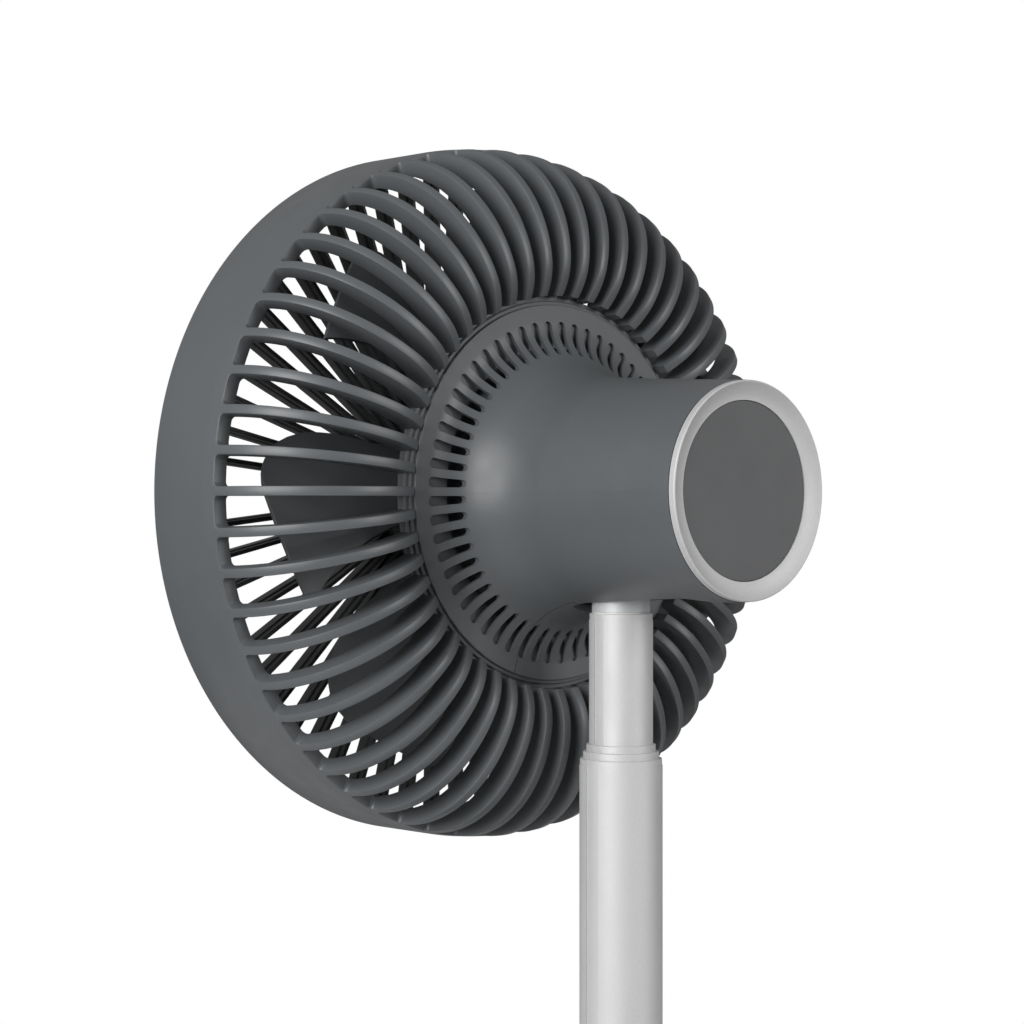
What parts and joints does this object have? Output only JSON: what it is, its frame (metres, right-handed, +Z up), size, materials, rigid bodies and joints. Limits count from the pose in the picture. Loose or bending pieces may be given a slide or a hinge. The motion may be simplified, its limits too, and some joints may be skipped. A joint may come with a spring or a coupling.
{
  "type": "pedestal fan",
  "caption": "Small pedestal fan with a round finned cage, trumpet-shaped motor housing that tilts and swivels, and a telescopic aluminium pole on a weighted round base.",
  "frame": {"origin": "on the floor, under the axis of the pole, at the middle of the base pad's lower face", "axes": "+Z up along the pole; the fan blows towards -Y, its motor housing points to +Y; +X is the right-hand side when facing +Y"},
  "size_m": [0.254, 0.204, 0.482],
  "materials": {
    "slate_plastic": "fine satin texture, slate grey",
    "dark_plastic": "satin, near black",
    "cap_plastic": "satin, dark grey",
    "silver_trim": "bead blasted, clear anodised",
    "pole_silver": "bead blasted, clear anodised",
    "neck_grey": "satin light grey",
    "steel": "zinc plated",
    "motor_metal": "plain",
    "copper_core": "lacquered windings",
    "magnet": "sintered magnet ring",
    "white_plastic": "low friction acetal",
    "board_green": "solder mask",
    "cell_wrap": "shrink wrap",
    "rubber": "silicone pad",
    "cast_weight": "painted",
    "button_plastic": "satin grey"
  },
  "bodies": {
    "base": {"base_shell": "slate_plastic", "base_plate": "dark_plastic", "base_screws": "steel", "base_weight": "cast_weight", "base_pad": "rubber", "pole_socket": "silver_trim", "pole_bolt": "steel", "pole_tube_1": "pole_silver", "pole_collar_1": "pole_silver", "collar_rivet": "pole_silver", "control_panel": "dark_plastic", "button_switches": "dark_plastic", "control_board": "board_green", "battery_cells": "cell_wrap", "battery_tray": "dark_plastic", "usb_inlet": "steel", "charge_board": "board_green"},
    "lower_stage": {"pole_tube_2": "pole_silver", "pole_collar_2": "pole_silver", "pole_glide_2": "white_plastic"},
    "middle_stage": {"pole_tube_3": "pole_silver", "pole_collar_3": "pole_silver", "pole_glide_3": "white_plastic"},
    "upper_stage": {"pole_tube_4": "pole_silver", "pole_collar_4": "pole_silver", "pole_glide_4": "white_plastic", "swivel_bush": "white_plastic"},
    "neck": {"neck_post": "neck_grey", "swivel_clip": "steel"},
    "head": {"rear_grille": "slate_plastic", "front_grille": "dark_plastic", "front_cap": "cap_plastic", "motor_plate": "dark_plastic", "motor_can": "motor_metal", "stator": "copper_core", "front_bearing": "steel", "rear_bearing": "steel", "motor_housing": "slate_plastic", "bottom_cover": "slate_plastic", "housing_screws": "steel", "grille_screws": "steel", "trim_ring": "silver_trim", "rear_disc": "cap_plastic", "tilt_bracket": "steel", "bracket_screws": "steel", "tilt_pin": "steel", "tilt_nut": "steel", "friction_washers": "white_plastic"},
    "fan": {"impeller": "dark_plastic", "hub_nut": "dark_plastic", "motor_shaft": "steel", "rotor": "magnet"},
    "power_button": {"power_button": "button_plastic"},
    "faster_button": {"faster_button": "button_plastic"},
    "slower_button": {"slower_button": "button_plastic"},
    "timer_button": {"timer_button": "button_plastic"}
  },
  "joints": [
    {"name": "lower_slide", "type": "slide", "parent": "base", "child": "lower_stage", "axis": [0, 0, 1], "range_m": [0, 0.175]},
    {"name": "middle_slide", "type": "slide", "parent": "lower_stage", "child": "middle_stage", "axis": [0, 0, 1], "range_m": [0, 0.175]},
    {"name": "upper_slide", "type": "slide", "parent": "middle_stage", "child": "upper_stage", "axis": [0, 0, 1], "range_m": [-0.028, 0.13]},
    {"name": "neck_swivel", "type": "hinge", "parent": "upper_stage", "child": "neck", "pos_m": [0, 0, 0.3], "axis": [0, 0, 1], "range_deg": [-60, 60]},
    {"name": "head_tilt", "type": "hinge", "parent": "neck", "child": "head", "pos_m": [0, 0, 0.355], "axis": [-1, 0, 0], "range_deg": [-3, 40]},
    {"name": "fan_spin", "type": "hinge", "parent": "head", "child": "fan", "pos_m": [0, -0.06, 0.355], "axis": [0, 1, 0], "continuous": true},
    {"name": "power_button_press", "type": "slide", "parent": "base", "child": "power_button", "axis": [0, 0, -1], "range_m": [0, 0.001], "stiffness_N_per_m": 600, "springref_m": -0.0008},
    {"name": "faster_button_press", "type": "slide", "parent": "base", "child": "faster_button", "axis": [0, 0, -1], "range_m": [0, 0.001], "stiffness_N_per_m": 600, "springref_m": -0.0008},
    {"name": "slower_button_press", "type": "slide", "parent": "base", "child": "slower_button", "axis": [0, 0, -1], "range_m": [0, 0.001], "stiffness_N_per_m": 600, "springref_m": -0.0008},
    {"name": "timer_button_press", "type": "slide", "parent": "base", "child": "timer_button", "axis": [0, 0, -1], "range_m": [0, 0.001], "stiffness_N_per_m": 600, "springref_m": -0.0008}
  ]
}
